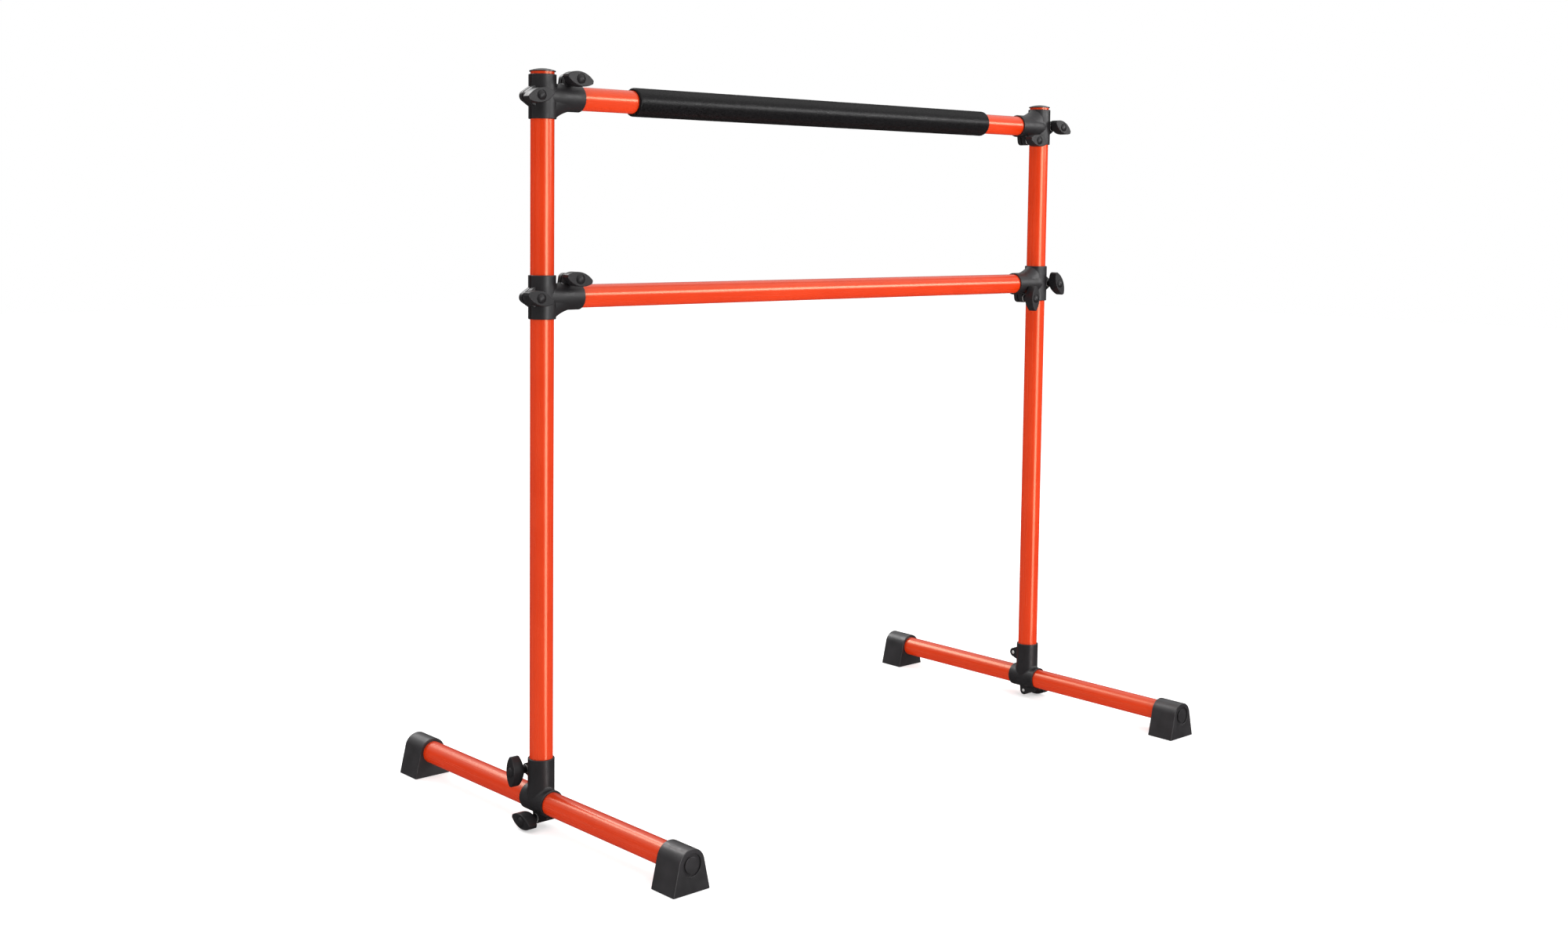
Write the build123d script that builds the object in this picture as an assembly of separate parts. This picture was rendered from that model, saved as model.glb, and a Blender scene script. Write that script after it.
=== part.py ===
"""A free-standing double barre: two posts, two height-adjustable bars and two swivelling feet.

Millimetres, +Z up. The origin is on the floor, midway between the posts. +X runs along the bars
from the left post to the right post, and -Y is the front, where the bars' knobs are.
"""
from build123d import *
import math
import os

# ---- tubes
TUBE_R = 19.0
TUBE_WALL = 2.0
POST_SPACING = 1218.0
HALF_SPAN = POST_SPACING / 2
BASE_AXIS_Z = 43.0
LOWER_BAR_Z = 860.6
UPPER_BAR_Z = 1177.4
POST_TOP_Z = 1216.5
FOOT_OUTER_Y = 386.0

# ---- fits: radial clearance of what slides or turns, and axial gap of what turns against a face
RUNNING = 0.075
AXIAL_GAP = 0.2

# ---- how far a cutting or joining body runs past the face it must reach
OVERRUN = 1.0

# ---- sleeves shared by both kinds of connector
SLEEVE_R = 22.2
BRANCH_R = 21.8
SLEEVE_EDGE = 1.0
SLIT_HALF = 1.25
SLIT_DEPTH = 40.0
SLIT_INNER = 17.0
SLIT_CENTRE = SLIT_INNER + SLIT_DEPTH / 2
SLIT_START = 27.0
TIGHT_BLEND = 4.0
BORE_STOP = 23.0

# ---- bar connector
BAR_SLEEVE_HALF = 35.0
BAR_SLEEVE_REACH = 70.0
BAR_CLAMP_X = 46.0
CLAMP_REACH = 29.0
GUSSET_STATIONS = ((12.0, 44.0), (22.0, 34.0), (32.0, 27.6), (43.0, 23.2), (54.0, 20.6), (60.0, 19.6))
GUSSET_HALF_WIDTH = 20.6
GUSSET_LOW = -33.5
GUSSET_HIGH = -3.0
POST_EAR_FLARE = 20.0
POST_EAR_ROOT = 14.0
BAR_EAR_FLARE = 11.0
BAR_EAR_ROOT = 18.0

# ---- base connector
SOCKET_HEIGHT = 70.0
BARREL_HALF = 31.0
SOCKET_CLAMP_Y = 29.5
SOCKET_CLAMP_Z = 46.0
BARREL_CLAMP_Z = -28.5
SOCKET_EAR_FLARE = 15.0
SOCKET_EAR_ROOT = 14.0
BARREL_EAR_FRONT = -47.0
BARREL_EAR_BACK = 10.0
BARREL_EAR_ROOT = 18.5
BASE_BLEND = 4.5

# ---- clamps: ears, stud, insert, washer
EAR_R = 9.0
EAR_HALF = 10.0
EAR_EDGE = 1.2
EAR_BLEND = 1.5
STUD_R = 3.2
STUD_TIP = 0.6
STUD_CHAMFER = 0.5
STUD_IN_KNOB = 12.0
INSERT_R = 5.0
INSERT_LENGTH = 6.5
WASHER_R = 7.0
WASHER_T = 1.5

# ---- wing knob
KNOB_FACE = 40.5
KNOB_LENGTH = 49.5
KNOB_WIDTH = 23.0
KNOB_TIP = 5.0
KNOB_TIP_DEPTH = 15.5
KNOB_BLOCK_DEPTH = 21.0
KNOB_NECK_R = 7.2
KNOB_TIP_ROUND = 2.0
KNOB_EDGE = 1.2
BUTTON_R = 7.6
BUTTON_RISE = 3.4
BUTTON_GROOVE = 0.9

# ---- post cap
CAP_R = 21.0
CAP_RIM = 1.5
CAP_RISE = 4.0
CAP_PLUG_LENGTH = 20.0
CAP_PLUG_WALL = 3.0

# ---- foam grip
GRIP_R = 23.75
GRIP_LENGTH = 862.0
GRIP_EDGE = 2.5

# ---- rubber foot
FOOT_DEPTH = 53.0
FOOT_HALF_WIDTH = 35.0
FOOT_TOP_R = 24.5
FOOT_CORNER = 1.4
FOOT_EDGE = 1.0
FOOT_END_WALL = 8.0
FOOT_RING_OUTER = 17.5
FOOT_RING_INNER = 12.5
FOOT_RING_DEPTH = 2.6
FOOT_RING_EDGE = 0.4

# ---- how the knobs rest: the long axis, in degrees up from +X, or from the front on a base connector
KNOB_REST = {
    "upper_left_post": 13.0,
    "upper_left_bar": -11.0,
    "upper_right_post": -24.0,
    "upper_right_bar": -8.0,
    "lower_left_post": -16.0,
    "lower_left_bar": -11.0,
    "lower_right_post": -63.0,
    "lower_right_bar": -90.0,
    "left_base_post": 90.0,
    "left_base_tube": -9.0,
    "right_base_post": 90.0,
    "right_base_tube": -9.0,
}


# ---- helpers
def rod(radius, start, end):
    """A cylinder along Z from start to end."""
    return Pos(0, 0, (start + end) / 2) * Cylinder(radius, end - start)


def tube(length):
    """A bar, post or cross tube along Z, centred on the origin."""
    return Cylinder(TUBE_R, length) - Cylinder(TUBE_R - TUBE_WALL, length)


def sleeve(radius, start, end, rounded):
    """A solid sleeve along Z, with the rim at each height in rounded softened."""
    body = rod(radius, start, end)
    rims = [e for e in body.edges().filter_by(GeomType.CIRCLE) if round(e.center().Z, 3) in rounded]
    return fillet(rims, SLEEVE_EDGE)


def blended(body, radius):
    """The body with the crossing line of its two cylinders filleted."""
    plain = (GeomType.LINE, GeomType.CIRCLE)
    crossing = [e for e in body.edges() if e.geom_type not in plain]
    return fillet(crossing, radius)


def ear(outline):
    """A clamp's pair of ears as one block with rounded rims: an outline in local XY, extruded both ways."""
    block = extrude(outline, EAR_HALF, both=True)
    faces = block.faces().sort_by(Axis.Z)
    return fillet(faces[0].edges() + faces[-1].edges(), EAR_EDGE)


def merged(body, block):
    """The two joined, with the line where their surfaces meet filleted."""
    joined = body + block
    seam = [e for e in joined.edges() if lies_on(e, body) and lies_on(e, block)]
    return fillet(seam, EAR_BLEND)


def lies_on(edge, solid, tolerance=0.01):
    """True if the edge runs along the solid's surface rather than only touching it at one end."""
    return all(solid.distance_to(edge @ part) < tolerance for part in (0.25, 0.75))


def ear_outline(front, back, foot):
    """A round ear of EAR_R about the origin, joined to the tube side by tangent flanks.

    Local +X points away from the tube. The flanks land at local x = -foot, at y = front and y = back.
    """
    root_points = [(-foot, front), (-foot, back)]
    disc = Circle(EAR_R)
    flank_points = []
    for x, y in root_points:
        distance = math.hypot(x, y)
        toward = math.atan2(y, x)
        swing = math.acos(EAR_R / distance)
        side = 1 if y < 0 else -1
        angle = toward + side * swing
        flank_points.append((EAR_R * math.cos(angle), EAR_R * math.sin(angle)))
    corners = [root_points[0], flank_points[0], flank_points[1], root_points[1]]
    return disc + make_face(Polyline(*corners, close=True))


def clamp_plane(origin, axis, angle=0.0):
    """A clamp's frame: local Z runs out along the stud to the knob, local X is the knob's long axis."""
    axis = Vector(axis)
    level = Vector(1, 0, 0) if abs(axis.Y) > abs(axis.X) else Vector(0, -1, 0)
    turn = math.radians(angle)
    long_axis = level * math.cos(turn) + Vector(0, 0, 1) * math.sin(turn)
    return Plane(origin=origin, x_dir=long_axis, z_dir=axis)


def clamp_cuts(plane):
    """The stud's bore through both ears and the insert's seat in the far ear, which opens on the slit."""
    bore = rod(STUD_R + RUNNING, -EAR_HALF - OVERRUN, EAR_HALF + OVERRUN)
    seat = rod(INSERT_R, -SLIT_HALF - INSERT_LENGTH, 0)
    return plane.location * (bore + seat)


# ---- the three clamp layouts, in their connector's own frame: origin, axis to the knob
POST_CLAMP = ((-CLAMP_REACH, 0, 0), (0, -1, 0))
BAR_CLAMP = ((BAR_CLAMP_X, 0, CLAMP_REACH), (0, -1, 0))


def base_clamps(side):
    """The base connector's two clamps; side is -1 for the left one and 1 for the right one."""
    socket_clamp = ((0, SOCKET_CLAMP_Y, SOCKET_CLAMP_Z), (side, 0, 0))
    barrel_clamp = ((0, 0, BARREL_CLAMP_Z), (side, 0, 0))
    return socket_clamp, barrel_clamp


# ---- connectors
def gusset():
    """The swept web under the bar sleeve: half ellipses that shrink to the sleeve's own circle."""
    sections = [Plane.YZ.offset(x) * Ellipse(GUSSET_HALF_WIDTH, depth) for x, depth in GUSSET_STATIONS]
    height = GUSSET_HIGH - GUSSET_LOW
    span = 2 * BAR_SLEEVE_REACH
    return loft(sections) & Pos(0, 0, (GUSSET_LOW + GUSSET_HIGH) / 2) * Box(span, span, height)


def bar_connector():
    """Origin where post and bar cross: the post runs along Z and the bar leaves along +X."""
    ends = (-BAR_SLEEVE_HALF, BAR_SLEEVE_HALF)
    post_sleeve = sleeve(SLEEVE_R, *ends, ends)
    bar_sleeve = Rot(0, 90, 0) * sleeve(BRANCH_R, 0, BAR_SLEEVE_REACH, (BAR_SLEEVE_REACH,))
    body = blended(post_sleeve + bar_sleeve, TIGHT_BLEND)

    post_frame = Plane(origin=POST_CLAMP[0], x_dir=(-1, 0, 0), z_dir=POST_CLAMP[1])
    bar_frame = Plane(origin=BAR_CLAMP[0], x_dir=(0, 0, 1), z_dir=BAR_CLAMP[1])
    post_ear = ear_outline(-POST_EAR_FLARE, POST_EAR_FLARE, CLAMP_REACH - POST_EAR_ROOT)
    bar_ear = ear_outline(-BAR_EAR_FLARE, BAR_EAR_FLARE, CLAMP_REACH - BAR_EAR_ROOT)
    body = merged(body, post_frame.location * ear(post_ear))
    body = merged(body, bar_frame.location * ear(bar_ear))
    body += gusset()

    post_run = 2 * (BAR_SLEEVE_HALF + OVERRUN)
    body -= Cylinder(TUBE_R + RUNNING, post_run)
    body -= Rot(0, 90, 0) * rod(TUBE_R, BORE_STOP, BAR_SLEEVE_REACH + OVERRUN)
    post_slit = Box(SLIT_DEPTH, 2 * SLIT_HALF, post_run)
    body -= Pos(-SLIT_CENTRE, 0, 0) * post_slit
    bar_slit = Box(BAR_SLEEVE_REACH, 2 * SLIT_HALF, SLIT_DEPTH)
    body -= Pos(SLIT_START + BAR_SLEEVE_REACH / 2, 0, SLIT_CENTRE) * bar_slit
    for origin, axis in (POST_CLAMP, BAR_CLAMP):
        body -= clamp_cuts(clamp_plane(origin, axis))
    return body


def base_connector(side):
    """Origin on the base tube's axis under the post: barrel along Y, socket up Z, knobs on side."""
    socket = sleeve(BRANCH_R, 0, SOCKET_HEIGHT, (SOCKET_HEIGHT,))
    ends = (-BARREL_HALF, BARREL_HALF)
    barrel = Rot(90, 0, 0) * sleeve(SLEEVE_R, *ends, ends)
    body = blended(barrel + socket, BASE_BLEND)

    socket_clamp, barrel_clamp = base_clamps(side)
    socket_frame = Plane(origin=socket_clamp[0], x_dir=(0, 1, 0), z_dir=(1, 0, 0))
    barrel_frame = Plane(origin=barrel_clamp[0], x_dir=(0, 0, -1), z_dir=(1, 0, 0))
    socket_ear = ear_outline(-SOCKET_EAR_FLARE, SOCKET_EAR_FLARE, SOCKET_CLAMP_Y - SOCKET_EAR_ROOT)
    barrel_ear = ear_outline(BARREL_EAR_FRONT, BARREL_EAR_BACK, -BARREL_CLAMP_Z - BARREL_EAR_ROOT)
    barrel_flat = 2 * (BARREL_HALF - SLEEVE_EDGE)
    barrel_ear &= Rectangle(barrel_flat, barrel_flat)
    body = merged(body, socket_frame.location * ear(socket_ear))
    body = merged(body, barrel_frame.location * ear(barrel_ear))

    barrel_run = 2 * (BARREL_HALF + OVERRUN)
    body -= rod(TUBE_R + RUNNING, BORE_STOP, SOCKET_HEIGHT + OVERRUN)
    body -= Rot(90, 0, 0) * Cylinder(TUBE_R, barrel_run)
    socket_slit = Box(2 * SLIT_HALF, SLIT_DEPTH, SOCKET_HEIGHT)
    body -= Pos(0, SLIT_CENTRE, SLIT_START + SOCKET_HEIGHT / 2) * socket_slit
    barrel_slit = Box(2 * SLIT_HALF, barrel_run, SLIT_DEPTH)
    body -= Pos(0, 0, -SLIT_CENTRE) * barrel_slit
    for origin, axis in (socket_clamp, barrel_clamp):
        body -= clamp_cuts(clamp_plane(origin, axis))
    return body


# ---- clamp hardware, each in the clamp's frame: Z out to the knob, zero at the slit's middle
def washer():
    """The plain washer on the near ear."""
    far_face = EAR_HALF + WASHER_T
    bore = rod(STUD_R + RUNNING, EAR_HALF - OVERRUN, far_face + OVERRUN)
    return rod(WASHER_R, EAR_HALF, far_face) - bore


def insert():
    """The threaded insert in the far ear, thread drawn as a plain bore."""
    blank = rod(INSERT_R, -SLIT_HALF - INSERT_LENGTH, -SLIT_HALF)
    return blank - rod(STUD_R + RUNNING, -EAR_HALF, 0)


def stud():
    """The steel stud, from just past the far ear to its seat inside the knob."""
    seat_end = EAR_HALF + WASHER_T + STUD_IN_KNOB
    body = rod(STUD_R, -EAR_HALF - STUD_TIP, seat_end)
    tip = body.edges().filter_by(GeomType.CIRCLE).sort_by(Axis.Z)[0]
    return chamfer(tip, STUD_CHAMFER)


def knob():
    """A pointed-oval wing on a round neck, with a domed button in a groove on its face."""
    half_length = KNOB_LENGTH / 2
    half_width = KNOB_WIDTH / 2
    tip = KNOB_TIP / 2
    rim = [
        ThreePointArc((-half_length, -tip), (0, -half_width), (half_length, -tip)),
        Line((half_length, -tip), (half_length, tip)),
        ThreePointArc((half_length, tip), (0, half_width), (-half_length, tip)),
        Line((-half_length, tip), (-half_length, -tip)),
    ]
    back = KNOB_FACE - KNOB_BLOCK_DEPTH
    tip_back = KNOB_FACE - KNOB_TIP_DEPTH
    seat = EAR_HALF + WASHER_T + AXIAL_GAP
    prism = Pos(0, 0, back) * extrude(make_face(Curve() + rim), KNOB_BLOCK_DEPTH)
    prism = fillet(prism.edges().filter_by(Axis.Z), KNOB_TIP_ROUND)
    envelope = [
        (0, back),
        (KNOB_NECK_R, back),
        (half_length + OVERRUN, tip_back),
        (half_length + OVERRUN, KNOB_FACE),
        (0, KNOB_FACE),
    ]
    block = prism & revolve(Plane.XZ * make_face(Polyline(*envelope, close=True)), Axis.Z)
    block = fillet(block.edges(), KNOB_EDGE)
    block += rod(KNOB_NECK_R, seat, back + OVERRUN)

    groove_floor = KNOB_FACE - BUTTON_GROOVE
    groove = rod(BUTTON_R + BUTTON_GROOVE, groove_floor, KNOB_FACE + OVERRUN)
    block -= groove - rod(BUTTON_R, groove_floor, KNOB_FACE + OVERRUN)
    dome_r = (BUTTON_R**2 + BUTTON_RISE**2) / (2 * BUTTON_RISE)
    dome = Pos(0, 0, KNOB_FACE + BUTTON_RISE - dome_r) * Sphere(dome_r)
    block += dome & rod(BUTTON_R, groove_floor, KNOB_FACE + BUTTON_RISE + OVERRUN)
    stud_end = EAR_HALF + WASHER_T + STUD_IN_KNOB
    return block - rod(STUD_R, seat - OVERRUN, stud_end)


# ---- ends and grip
def post_cap():
    """Origin at the rim of the post: domed head above, hollow spigot below."""
    head = rod(CAP_R, 0, CAP_RIM)
    dome_r = (CAP_R**2 + CAP_RISE**2) / (2 * CAP_RISE)
    dome = Pos(0, 0, CAP_RIM + CAP_RISE - dome_r) * Sphere(dome_r)
    head += dome & rod(CAP_R, CAP_RIM, CAP_RIM + CAP_RISE + OVERRUN)
    spigot_r = TUBE_R - TUBE_WALL
    spigot = rod(spigot_r, -CAP_PLUG_LENGTH, 0)
    spigot -= rod(spigot_r - CAP_PLUG_WALL, -CAP_PLUG_LENGTH - OVERRUN, 0)
    return head + spigot


def foam_grip():
    """The foam sleeve along Z, centred on the origin."""
    body = Cylinder(GRIP_R, GRIP_LENGTH)
    body = fillet(body.edges().filter_by(GeomType.CIRCLE), GRIP_EDGE)
    return body - Cylinder(TUBE_R, GRIP_LENGTH + 2 * OVERRUN)


def foot():
    """Origin on the tube's axis at the outer face; the foot runs from there along +Y to the tube."""
    slope = math.atan2(BASE_AXIS_Z, FOOT_HALF_WIDTH)
    reach = math.hypot(BASE_AXIS_Z, FOOT_HALF_WIDTH)
    touch = math.acos(FOOT_TOP_R / reach)
    angle = touch - slope
    tangent = (FOOT_TOP_R * math.cos(angle), FOOT_TOP_R * math.sin(angle))
    flanks = [
        (-FOOT_HALF_WIDTH, -BASE_AXIS_Z),
        (FOOT_HALF_WIDTH, -BASE_AXIS_Z),
        tangent,
        (-tangent[0], tangent[1]),
    ]
    outline = make_face(Polyline(*flanks, close=True)) + Circle(FOOT_TOP_R)
    body = extrude(Plane.XZ * outline, -FOOT_DEPTH)
    corners = body.edges().filter_by(Axis.Y).sort_by(Axis.Z)[:2]
    body = fillet(corners, FOOT_CORNER)
    end_faces = body.faces().sort_by(Axis.Y)
    body = fillet(end_faces[0].edges() + end_faces[-1].edges(), FOOT_EDGE)
    along = Rot(-90, 0, 0)
    body -= along * rod(TUBE_R, FOOT_END_WALL, FOOT_DEPTH + OVERRUN)
    groove = rod(FOOT_RING_OUTER, -OVERRUN, FOOT_RING_DEPTH) - rod(FOOT_RING_INNER, -OVERRUN, FOOT_RING_DEPTH)
    body -= along * groove
    face_circles = [e for e in body.edges().filter_by(GeomType.CIRCLE) if is_groove_rim(e)]
    return fillet(face_circles, FOOT_RING_EDGE)


def is_groove_rim(edge):
    """True for the two circles where the foot's ring groove opens on its outer face."""
    on_face = abs(edge.center().Y) < FOOT_RING_EDGE
    return on_face and round(edge.radius, 3) in (FOOT_RING_OUTER, FOOT_RING_INNER)


# ---- places
def bar_connector_places():
    """Each bar connector's name, side and place. The right ones are turned over, knobs still in front."""
    places = []
    for level, height in (("upper", UPPER_BAR_Z), ("lower", LOWER_BAR_Z)):
        places.append((level, "left", Pos(-HALF_SPAN, 0, height)))
        places.append((level, "right", Pos(HALF_SPAN, 0, height) * Rot(0, 180, 0)))
    return places


def placed_clamp(place, clamp, rest_name):
    """The clamp's frame in the whole barre, with its knob turned to how it rests."""
    origin = (place * Pos(*clamp[0])).position
    tip = (place * Pos(*(Vector(*clamp[0]) + Vector(*clamp[1])))).position
    return clamp_plane(origin, tip - origin, KNOB_REST[rest_name]).location


def write(node, *solids):
    """One STEP per node; identical small pieces of one connector share a node."""
    shape = solids[0] if len(solids) == 1 else Compound(children=list(solids))
    export_step(shape, f"parts/{node}.step")


def write_clamps(owner, clamps):
    """Washers and inserts of one connector as one node each, and every knob and stud on its own."""
    write(f"{owner}_washers", *[place * washer() for _, place in clamps])
    write(f"{owner}_inserts", *[place * insert() for _, place in clamps])
    for name, place in clamps:
        write(f"{name}_knob", place * knob())
        write(f"{name}_stud", place * stud())


def main():
    os.makedirs("parts", exist_ok=True)

    post_foot_z = BASE_AXIS_Z + BORE_STOP
    post_length = POST_TOP_Z - post_foot_z
    for side, name in ((-1, "left"), (1, "right")):
        write(f"{name}_post", Pos(side * HALF_SPAN, 0, post_foot_z + post_length / 2) * tube(post_length))
        write(f"{name}_post_cap", Pos(side * HALF_SPAN, 0, POST_TOP_Z) * post_cap())

    bar_length = POST_SPACING - 2 * BORE_STOP
    for name, height in (("upper", UPPER_BAR_Z), ("lower", LOWER_BAR_Z)):
        write(f"{name}_bar", Pos(0, 0, height) * Rot(0, 90, 0) * tube(bar_length))
    write("foam_grip", Pos(0, 0, UPPER_BAR_Z) * Rot(0, 90, 0) * foam_grip())

    for level, name, place in bar_connector_places():
        owner = f"{level}_{name}"
        write(f"{owner}_connector", place * bar_connector())
        clamps = [
            (f"{owner}_post", placed_clamp(place, POST_CLAMP, f"{owner}_post")),
            (f"{owner}_bar", placed_clamp(place, BAR_CLAMP, f"{owner}_bar")),
        ]
        write_clamps(owner, clamps)

    cross_tube_length = 2 * (FOOT_OUTER_Y - FOOT_END_WALL)
    for side, name in ((-1, "left"), (1, "right")):
        owner = f"{name}_base"
        place = Pos(side * HALF_SPAN, 0, BASE_AXIS_Z)
        write(f"{owner}_connector", place * base_connector(side))
        write(f"{owner}_tube", place * Rot(90, 0, 0) * tube(cross_tube_length))
        write(f"{name}_front_foot", place * Pos(0, -FOOT_OUTER_Y, 0) * foot())
        write(f"{name}_back_foot", place * Rot(0, 0, 180) * Pos(0, -FOOT_OUTER_Y, 0) * foot())
        socket_clamp, barrel_clamp = base_clamps(side)
        clamps = [
            (f"{owner}_post", placed_clamp(place, socket_clamp, f"{owner}_post")),
            (f"{owner}_tube", placed_clamp(place, barrel_clamp, f"{owner}_tube")),
        ]
        write_clamps(owner, clamps)


main()
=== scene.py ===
"""The looks of a free-standing double barre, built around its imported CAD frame. Metres, +Z up."""

import math

import bmesh
import bpy
from mathutils import Matrix, Vector, noise


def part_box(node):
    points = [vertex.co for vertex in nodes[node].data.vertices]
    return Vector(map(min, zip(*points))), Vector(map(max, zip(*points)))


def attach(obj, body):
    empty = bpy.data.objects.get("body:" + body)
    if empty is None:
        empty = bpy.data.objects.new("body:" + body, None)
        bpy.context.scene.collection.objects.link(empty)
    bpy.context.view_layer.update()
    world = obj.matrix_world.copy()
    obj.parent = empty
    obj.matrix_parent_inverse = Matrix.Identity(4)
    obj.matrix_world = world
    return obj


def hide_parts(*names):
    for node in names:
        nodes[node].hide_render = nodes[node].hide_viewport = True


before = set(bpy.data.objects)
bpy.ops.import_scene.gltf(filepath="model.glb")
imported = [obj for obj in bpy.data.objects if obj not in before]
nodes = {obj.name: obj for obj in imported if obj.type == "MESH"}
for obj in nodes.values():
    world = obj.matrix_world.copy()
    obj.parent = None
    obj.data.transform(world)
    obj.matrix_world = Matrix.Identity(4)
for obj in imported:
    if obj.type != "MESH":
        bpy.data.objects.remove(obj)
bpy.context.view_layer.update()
scene = bpy.context.scene

# ---- camera and light
CAMERA_PLACE = (-2.2449, -2.3626, 1.0022)
CAMERA_YAW = math.radians(-42.117)
CAMERA_PITCH = math.radians(-4.276)
CAMERA_ROLL = math.radians(0.671)
CAMERA_LENS_MM = 41.134
CAMERA_SENSOR_MM = 36.0
CAMERA_SHIFT = (0.0060, -0.08)
CAMERA_CLIP = (0.05, 60.0)
CEILING_RADIANCE = 1.2
SIDE_RADIANCE = 0.08
CEILING_EDGE = 0.15
CEILING_FULL = 0.70

# ---- softboxes: name, place, target, width, height, radiance, and whether gloss mirrors it
SOFTBOXES = (
    ("front", (0.35, -6.0, -0.4), (0.35, 0.0, -0.4), 2.5, 4.8, 9.4, True),
    ("right", (3.05, -3.0, 1.95), (3.05, 0.0, 1.95), 3.1, 1.0, 12.0, True),
    ("back", (-0.5, 4.2, 4.3), (0.0, 0.0, 0.1), 3.0, 1.6, 7.5, True),
    ("left", (-4.6, 3.6, 0.2), (0.0, 0.0, 0.5), 2.6, 3.6, 0.15, True),
    ("fill", (-5.0, -0.8, 0.2), (-0.6, 0.0, 0.3), 3.0, 3.0, 2.8, False),
)

# ---- linear colours: each surface's plain colour, and the two shades that it clouds between
# ---- (a nylon's second shade is its plain colour times NYLON_LIFT)
WHITE = (1.0, 1.0, 1.0, 1.0)
POWDER_ORANGE = (0.58, 0.029, 0.002)
POWDER_SHADES = ((0.56, 0.026, 0.001), (0.60, 0.032, 0.003))
POWDER_GLOSS_TINT = (1.0, 0.80, 0.52, 1.0)
CONNECTOR_BLACK = (0.011, 0.010, 0.011)
KNOB_BLACK = (0.010, 0.009, 0.010)
CAP_BLACK = (0.010, 0.009, 0.010)
NYLON_LIFT = 1.35
FOAM_BLACK = (0.009, 0.008, 0.009)
FOAM_SHADES = ((0.002, 0.002, 0.002), (0.012, 0.011, 0.012))
RUBBER_BLACK = (0.018, 0.017, 0.018)
RUBBER_SHADES = ((0.015, 0.014, 0.015), (0.024, 0.022, 0.024))
ZINC_GREY = (0.82, 0.82, 0.80)
ZINC_SHADES = ((0.86, 0.86, 0.84), (0.70, 0.70, 0.68))
FLOOR_GREY = (0.80, 0.80, 0.80)
FLOOR_GLOW = 0.45

# ---- roughness of each surface's smoothest and roughest patches
POWDER_ROUGHNESS = (0.23, 0.29)
BAR_CONNECTOR_ROUGHNESS = (0.40, 0.52)
BASE_CONNECTOR_ROUGHNESS = (0.38, 0.50)
KNOB_ROUGHNESS = (0.38, 0.50)
CAP_ROUGHNESS = (0.24, 0.34)
FOAM_ROUGHNESS = (0.26, 0.42)
RUBBER_ROUGHNESS = (0.30, 0.42)
ZINC_ROUGHNESS = (0.20, 0.42)

# ---- the facing weights between which a surface dulls towards a grazing view, and by how much
GRAZE_BAND = (0.40, 0.80)
GRAZE_DULLING = 0.5

# ---- the bands of a noise texture's values that are spread out over a whole range
WIDE_BAND = (0.30, 0.70)
HIGH_BAND = (0.35, 0.70)
NARROW_BAND = (0.35, 0.65)
SPECK_BAND = (0.38, 0.66)

# ---- scales of the surfaces, in features per metre
POWDER_CLOUD_SCALE = 9.0
ORANGE_PEEL_SCALE = 650.0
RUB_SCALE = 260.0
NYLON_CLOUD_SCALE = 25.0
POLISH_SCALE = 70.0
MOULD_GRAIN_SCALE = 2200.0
FOAM_CELL_SCALE = 900.0
FOAM_SPECK_SCALE = FOAM_CELL_SCALE * 0.7
FOAM_PATCH_SCALE = FOAM_CELL_SCALE * 0.5
FOAM_GRAIN_SCALE = FOAM_CELL_SCALE * 3.0
BLOOM_SCALE = 35.0
SCUFF_SCALE = 90.0
RUBBER_GRAIN_SCALE = 1400.0
SPOT_SCALE = 700.0
TURNING_SCALE = 1500.0
ZINC_GRAIN_SCALE = 4000.0

# ---- the scale of rub marks along a tube, as a share of that across it
RUB_STRETCH = 0.02

# ---- bumps: strength, and depth in metres
ORANGE_PEEL_BUMP = (0.12, 0.00012)
RUB_BUMP = (0.02, 0.00005)
MOULD_GRAIN_BUMP = (0.10, 0.00008)
SEAM_BUMP = (0.60, 0.00010)
FOAM_PIT_BUMP = (0.25, 0.00020)
FOAM_GRAIN_BUMP = (0.12, 0.00008)
RUBBER_GRAIN_BUMP = (0.15, 0.00010)
ZINC_GRAIN_BUMP = (0.10, 0.00004)

# ---- the seam that a two-part mould leaves down the middle of each connector
SEAM_HALF_WIDTH = 0.0002

# ---- foam sleeve
SLEEVE_BORE_R = 0.0190
SLEEVE_EDGE_R = 0.0030
SLEEVE_EDGE_STEPS = 6
SLEEVE_POINTS = 120
SLEEVE_SPANS = 600
SKIN_LUMPS = ((180.0, 0.00010), (420.0, 0.00008))

# ---- floor, from its middle to its edge
FLOOR_REACH = 14.0


# ---------------------------------------------------------------- camera
def make_camera():
    """The camera stands in front and to the left, looking a little down, with its frame shifted down."""
    data = bpy.data.cameras.new("camera")
    data.sensor_width = CAMERA_SENSOR_MM
    data.lens = CAMERA_LENS_MM
    data.shift_x, data.shift_y = CAMERA_SHIFT
    data.clip_start, data.clip_end = CAMERA_CLIP
    camera = bpy.data.objects.new("camera", data)
    scene.collection.objects.link(camera)
    turn = Matrix.Rotation(CAMERA_YAW, 4, "Z")
    tilt = Matrix.Rotation(math.pi / 2 + CAMERA_PITCH, 4, "X")
    roll = Matrix.Rotation(CAMERA_ROLL, 4, "Z")
    camera.matrix_world = Matrix.Translation(CAMERA_PLACE) @ turn @ tilt @ roll
    scene.camera = camera


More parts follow.
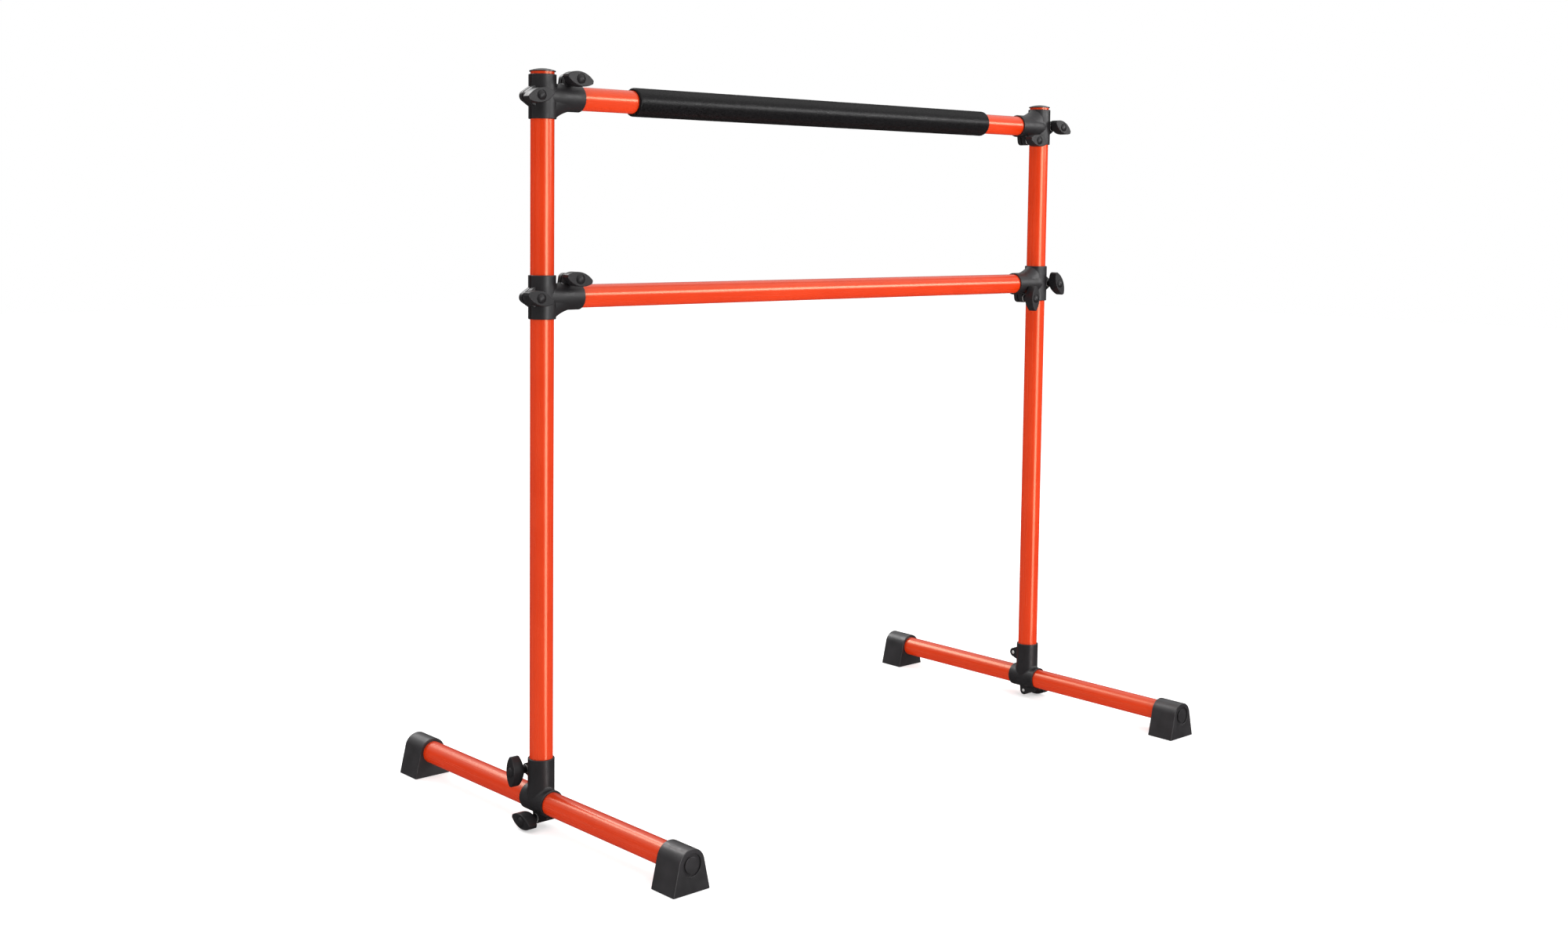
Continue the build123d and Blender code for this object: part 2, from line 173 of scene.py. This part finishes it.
# ---------------------------------------------------------------- light
def make_world():
    """A room with a broad bright ceiling and dim sides, and plain white where the camera looks past it."""
    world = bpy.data.worlds.new("studio")
    world.use_nodes = True
    tree = world.node_tree
    room = tree.nodes["Background"]
    place = tree.nodes.new("ShaderNodeTexCoord")
    height = tree.nodes.new("ShaderNodeSeparateXYZ")
    shade = tree.nodes.new("ShaderNodeMapRange")
    shade.interpolation_type = "SMOOTHSTEP"
    shade.inputs["From Min"].default_value = CEILING_EDGE
    shade.inputs["From Max"].default_value = CEILING_FULL
    shade.inputs["To Min"].default_value = SIDE_RADIANCE
    shade.inputs["To Max"].default_value = CEILING_RADIANCE
    tree.links.new(place.outputs["Generated"], height.inputs["Vector"])
    tree.links.new(height.outputs["Z"], shade.inputs["Value"])
    tree.links.new(shade.outputs["Result"], room.inputs["Strength"])
    backdrop = tree.nodes.new("ShaderNodeBackground")
    backdrop.inputs["Color"].default_value = WHITE
    rays = tree.nodes.new("ShaderNodeLightPath")
    choice = tree.nodes.new("ShaderNodeMixShader")
    room.inputs["Color"].default_value = WHITE
    tree.links.new(rays.outputs["Is Camera Ray"], choice.inputs["Fac"])
    tree.links.new(room.outputs["Background"], choice.inputs[1])
    tree.links.new(backdrop.outputs["Background"], choice.inputs[2])
    tree.links.new(choice.outputs["Shader"], tree.nodes["World Output"].inputs["Surface"])
    scene.world = world


def make_softbox(name, place, target, width, height, radiance, mirrored):
    """A rectangular light at place, facing target, that the camera itself doesn't see.

    One that isn't mirrored only lights surfaces, and no gloss shows it.
    """
    data = bpy.data.lights.new(name, "AREA")
    data.shape = "RECTANGLE"
    data.size = width
    data.size_y = height
    data.energy = radiance * math.pi * width * height
    light = bpy.data.objects.new(name, data)
    scene.collection.objects.link(light)
    light.location = place
    light.rotation_euler = (Vector(target) - Vector(place)).to_track_quat("-Z", "Y").to_euler()
    light.visible_camera = False
    light.visible_glossy = mirrored


# ---------------------------------------------------------------- materials
class Surface:
    """A Principled material with short calls for the nodes that drive it."""

    def __init__(self, name, color, roughness, metallic=0.0):
        self.material = bpy.data.materials.new(name)
        self.material.use_nodes = True
        self.tree = self.material.node_tree
        self.shader = self.tree.nodes["Principled BSDF"]
        self.set("Base Color", (*color, 1.0))
        self.set("Roughness", roughness)
        self.set("Metallic", metallic)
        self.place = self.tree.nodes.new("ShaderNodeTexCoord").outputs["Object"]

    def set(self, socket, value):
        self.shader.inputs[socket].default_value = value

    def link(self, source, target):
        self.tree.links.new(source, target)

    def stretched(self, scale):
        """The object's own coordinates, scaled along each axis."""
        mapping = self.tree.nodes.new("ShaderNodeMapping")
        mapping.inputs["Scale"].default_value = scale
        self.link(self.place, mapping.inputs["Vector"])
        return mapping.outputs["Vector"]

    def seam(self, axis, offset):
        """1 on the plane where the coordinate along axis is offset, or minus offset, and 0 away from it."""
        parts = self.tree.nodes.new("ShaderNodeSeparateXYZ")
        self.link(self.place, parts.inputs["Vector"])
        distance = self.math("ABSOLUTE", parts.outputs[axis])
        distance = self.math("ABSOLUTE", self.math("SUBTRACT", distance, offset))
        return self.remap(distance, 0.0, SEAM_HALF_WIDTH, 1.0, 0.0)

    def math(self, operation, value, other=0.0):
        node = self.tree.nodes.new("ShaderNodeMath")
        node.operation = operation
        node.inputs[1].default_value = other
        self.link(value, node.inputs[0])
        return node.outputs["Value"]

    def noise(self, scale, detail=3.0, roughness=0.5, where=None):
        node = self.tree.nodes.new("ShaderNodeTexNoise")
        node.inputs["Scale"].default_value = scale
        node.inputs["Detail"].default_value = detail
        node.inputs["Roughness"].default_value = roughness
        self.link(where or self.place, node.inputs["Vector"])
        return node.outputs["Fac"]

    def cells(self, scale):
        node = self.tree.nodes.new("ShaderNodeTexVoronoi")
        node.inputs["Scale"].default_value = scale
        self.link(self.place, node.inputs["Vector"])
        return node.outputs["Distance"]

    def remap(self, value, low, high, to_low, to_high):
        node = self.tree.nodes.new("ShaderNodeMapRange")
        node.inputs["From Min"].default_value = low
        node.inputs["From Max"].default_value = high
        node.inputs["To Min"].default_value = to_low
        node.inputs["To Max"].default_value = to_high
        self.link(value, node.inputs["Value"])
        return node.outputs["Result"]

    def blend(self, value, first, second):
        node = self.tree.nodes.new("ShaderNodeMix")
        node.data_type = "RGBA"
        node.inputs["A"].default_value = (*first, 1.0)
        node.inputs["B"].default_value = (*second, 1.0)
        self.link(value, node.inputs["Factor"])
        return node.outputs["Result"]

    def bump(self, height, strength, distance, below=None):
        node = self.tree.nodes.new("ShaderNodeBump")
        node.inputs["Strength"].default_value = strength
        node.inputs["Distance"].default_value = distance
        self.link(height, node.inputs["Height"])
        if below is not None:
            self.link(below, node.inputs["Normal"])
        self.link(node.outputs["Normal"], self.shader.inputs["Normal"])
        return node.outputs["Normal"]

    def dulled(self, roughness):
        """Roughness that rises towards a grazing view, where a pitted skin loses its gloss."""
        weight = self.tree.nodes.new("ShaderNodeLayerWeight").outputs["Facing"]
        total = self.tree.nodes.new("ShaderNodeMath")
        total.operation = "ADD"
        total.use_clamp = True
        self.link(roughness, total.inputs[0])
        self.link(self.remap(weight, *GRAZE_BAND, 0.0, GRAZE_DULLING), total.inputs[1])
        return total.outputs["Value"]

    def drive(self, socket, value):
        self.link(value, self.shader.inputs[socket])


def powder_coat(name, rub):
    """Orange-red powder coat: orange peel, a faint cloud in the colour, and rub marks stretched along rub."""
    surface = Surface(name, POWDER_ORANGE, roughness=0.28)
    cloud = surface.remap(surface.noise(POWDER_CLOUD_SCALE), *NARROW_BAND, 0.0, 1.0)
    surface.drive("Base Color", surface.blend(cloud, *POWDER_SHADES))
    marks = surface.noise(RUB_SCALE, detail=4.0, where=surface.stretched(rub))
    surface.drive("Roughness", surface.remap(marks, *WIDE_BAND, *POWDER_ROUGHNESS))
    peel = surface.bump(surface.noise(ORANGE_PEEL_SCALE, detail=2.0), *ORANGE_PEEL_BUMP)
    surface.bump(marks, *RUB_BUMP, below=peel)
    surface.set("Specular IOR Level", 0.80)
    surface.set("Specular Tint", POWDER_GLOSS_TINT)
    return surface.material


def moulded_nylon(name, color, roughness, gloss, seam=None):
    """Black moulded nylon: fine spark-eroded grain, handling polish in patches, and a mould's seam."""
    surface = Surface(name, color, sum(roughness) / 2)
    tint = surface.remap(surface.noise(NYLON_CLOUD_SCALE), *WIDE_BAND, 0.0, 1.0)
    lighter = tuple(NYLON_LIFT * channel for channel in color)
    surface.drive("Base Color", surface.blend(tint, color, lighter))
    patches = surface.noise(POLISH_SCALE, detail=5.0)
    surface.drive("Roughness", surface.remap(patches, *WIDE_BAND, *roughness))
    grain = surface.bump(surface.noise(MOULD_GRAIN_SCALE, detail=2.0), *MOULD_GRAIN_BUMP)
    if seam is not None:
        surface.bump(surface.seam(*seam), *SEAM_BUMP, below=grain)
    surface.set("Specular IOR Level", gloss)
    return surface.material


def foam():
    """Closed-cell foam: a dark skin with fine specks and pits, duller where it is seen edge on."""
    surface = Surface("foam", FOAM_BLACK, roughness=0.5)
    speck = surface.remap(surface.noise(FOAM_SPECK_SCALE, detail=5.0), *SPECK_BAND, 0.0, 1.0)
    surface.drive("Base Color", surface.blend(speck, *FOAM_SHADES))
    patches = surface.remap(surface.noise(FOAM_PATCH_SCALE, detail=4.0), *WIDE_BAND, *FOAM_ROUGHNESS)
    surface.drive("Roughness", surface.dulled(patches))
    pits = surface.bump(surface.cells(FOAM_CELL_SCALE), *FOAM_PIT_BUMP)
    surface.bump(surface.noise(FOAM_GRAIN_SCALE), *FOAM_GRAIN_BUMP, below=pits)
    surface.set("Specular IOR Level", 0.13)
    return surface.material


def foot_rubber():
    """Dark grey rubber with a dull bloom and small scuffs."""
    surface = Surface("foot_rubber", RUBBER_BLACK, roughness=0.42)
    bloom = surface.remap(surface.noise(BLOOM_SCALE, detail=5.0), *HIGH_BAND, 0.0, 1.0)
    surface.drive("Base Color", surface.blend(bloom, *RUBBER_SHADES))
    scuffs = surface.remap(surface.noise(SCUFF_SCALE, detail=6.0), *WIDE_BAND, *RUBBER_ROUGHNESS)
    surface.drive("Roughness", scuffs)
    surface.bump(surface.noise(RUBBER_GRAIN_SCALE, detail=3.0), *RUBBER_GRAIN_BUMP)
    return surface.material


def plated_steel():
    """Bright zinc plate with fine turned lines and a few dull spots."""
    surface = Surface("plated_steel", ZINC_GREY, roughness=0.28, metallic=0.6)
    spots = surface.remap(surface.noise(SPOT_SCALE, detail=4.0), *HIGH_BAND, 0.0, 1.0)
    surface.drive("Base Color", surface.blend(spots, *ZINC_SHADES))
    surface.drive("Roughness", surface.remap(surface.noise(TURNING_SCALE), *WIDE_BAND, *ZINC_ROUGHNESS))
    surface.bump(surface.noise(ZINC_GRAIN_SCALE), *ZINC_GRAIN_BUMP)
    return surface.material


def pale_floor():
    """White laminate, a little lit from below, so that it stays pale under the object."""
    surface = Surface("pale_floor", FLOOR_GREY, roughness=0.75)
    surface.set("Emission Color", WHITE)
    surface.set("Emission Strength", FLOOR_GLOW)
    return surface.material


# ---------------------------------------------------------------- CAD nodes that stay
def dress(material, wanted):
    """Gives every CAD node whose name passes wanted the material."""
    for name, piece in nodes.items():
        if wanted(name):
            piece.data.materials.clear()
            piece.data.materials.append(material)


# ---------------------------------------------------------------- foam grip
def sleeve_profile(half_length, outer):
    """The sleeve's section as (x, radius) points: up one end face, along the skin and down the other."""
    rise = [(-half_length, SLEEVE_BORE_R), (-half_length, (SLEEVE_BORE_R + outer - SLEEVE_EDGE_R) / 2)]
    for step in range(SLEEVE_EDGE_STEPS + 1):
        turn = math.pi / 2 * step / SLEEVE_EDGE_STEPS
        rise.append((
            -half_length + SLEEVE_EDGE_R * (1 - math.cos(turn)),
            outer - SLEEVE_EDGE_R * (1 - math.sin(turn)),
        ))
    straight = 2 * (half_length - SLEEVE_EDGE_R)
    skin = [(straight * (step / SLEEVE_SPANS - 0.5), outer) for step in range(1, SLEEVE_SPANS)]
    return rise + skin + [(-x, radius) for x, radius in reversed(rise)]


def skin_height(point):
    """How far the foam's uneven skin stands out at a point."""
    return sum(depth * noise.noise(point * scale) for scale, depth in SKIN_LUMPS)


def make_foam_grip(material):
    """The foam sleeve: a soft tube with rounded ends and a slightly lumpy skin."""
    low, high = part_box("foam_grip")
    centre = (low + high) / 2
    profile = sleeve_profile((high.x - low.x) / 2, (high.z - low.z) / 2)
    mesh = bmesh.new()
    rings = []
    for x, radius in profile:
        ring = []
        for step in range(SLEEVE_POINTS):
            angle = 2 * math.pi * step / SLEEVE_POINTS
            outward = Vector((0.0, math.cos(angle), math.sin(angle)))
            point = centre + Vector((x, 0.0, 0.0)) + radius * outward
            if radius > SLEEVE_BORE_R:
                point += skin_height(point) * outward
            ring.append(mesh.verts.new(point))
        rings.append(ring)
    for first, second in zip(rings, rings[1:] + rings[:1]):
        for step in range(SLEEVE_POINTS):
            after = (step + 1) % SLEEVE_POINTS
            mesh.faces.new((first[step], first[after], second[after], second[step]))
    bmesh.ops.recalc_face_normals(mesh, faces=mesh.faces)
    data = bpy.data.meshes.new("foam_sleeve")
    mesh.to_mesh(data)
    mesh.free()
    data.materials.append(material)
    for face in data.polygons:
        face.use_smooth = True
    grip = bpy.data.objects.new("foam_sleeve", data)
    scene.collection.objects.link(grip)
    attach(grip, "upper_rail")
    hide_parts("foam_grip")


# ---------------------------------------------------------------- floor
def make_floor(material):
    """A square of floor that catches shadows and that no gloss mirrors."""
    data = bpy.data.meshes.new("floor")
    corners = [(x * FLOOR_REACH, y * FLOOR_REACH, 0.0) for x, y in ((-1, -1), (1, -1), (1, 1), (-1, 1))]
    data.from_pydata(corners, [], [(0, 1, 2, 3)])
    data.materials.append(material)
    floor = bpy.data.objects.new("floor", data)
    scene.collection.objects.link(floor)
    floor.visible_glossy = False


make_camera()
make_world()
scene.view_settings.view_transform = "Standard"
for softbox in SOFTBOXES:
    make_softbox(*softbox)

post_low, post_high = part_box("right_post")
post_axis_x = (post_low.x + post_high.x) / 2
bar_nylon = moulded_nylon(
    "bar_connector_nylon", CONNECTOR_BLACK, BAR_CONNECTOR_ROUGHNESS, gloss=0.42, seam=("Y", 0.0)
)
base_nylon = moulded_nylon(
    "base_connector_nylon", CONNECTOR_BLACK, BASE_CONNECTOR_ROUGHNESS, gloss=0.42, seam=("X", post_axis_x)
)
knob_nylon = moulded_nylon("knob_nylon", KNOB_BLACK, KNOB_ROUGHNESS, gloss=0.32)
cap_plastic = moulded_nylon("cap_plastic", CAP_BLACK, CAP_ROUGHNESS, gloss=0.5)
dress(powder_coat("powder_coat_posts", (1.0, 1.0, RUB_STRETCH)), lambda name: name.endswith("_post"))
dress(powder_coat("powder_coat_bars", (RUB_STRETCH, 1.0, 1.0)), lambda name: name.endswith("_bar"))
dress(powder_coat("powder_coat_base", (1.0, RUB_STRETCH, 1.0)), lambda name: name.endswith("base_tube"))
dress(bar_nylon, lambda name: name.endswith("_connector") and "base" not in name)
dress(base_nylon, lambda name: name.endswith("base_connector"))
dress(knob_nylon, lambda name: name.endswith("_knob"))
dress(cap_plastic, lambda name: name.endswith("_cap"))
dress(foot_rubber(), lambda name: name.endswith("_foot"))
dress(plated_steel(), lambda name: name.endswith(("_stud", "_washers", "_inserts")))
make_foam_grip(foam())
make_floor(pale_floor())
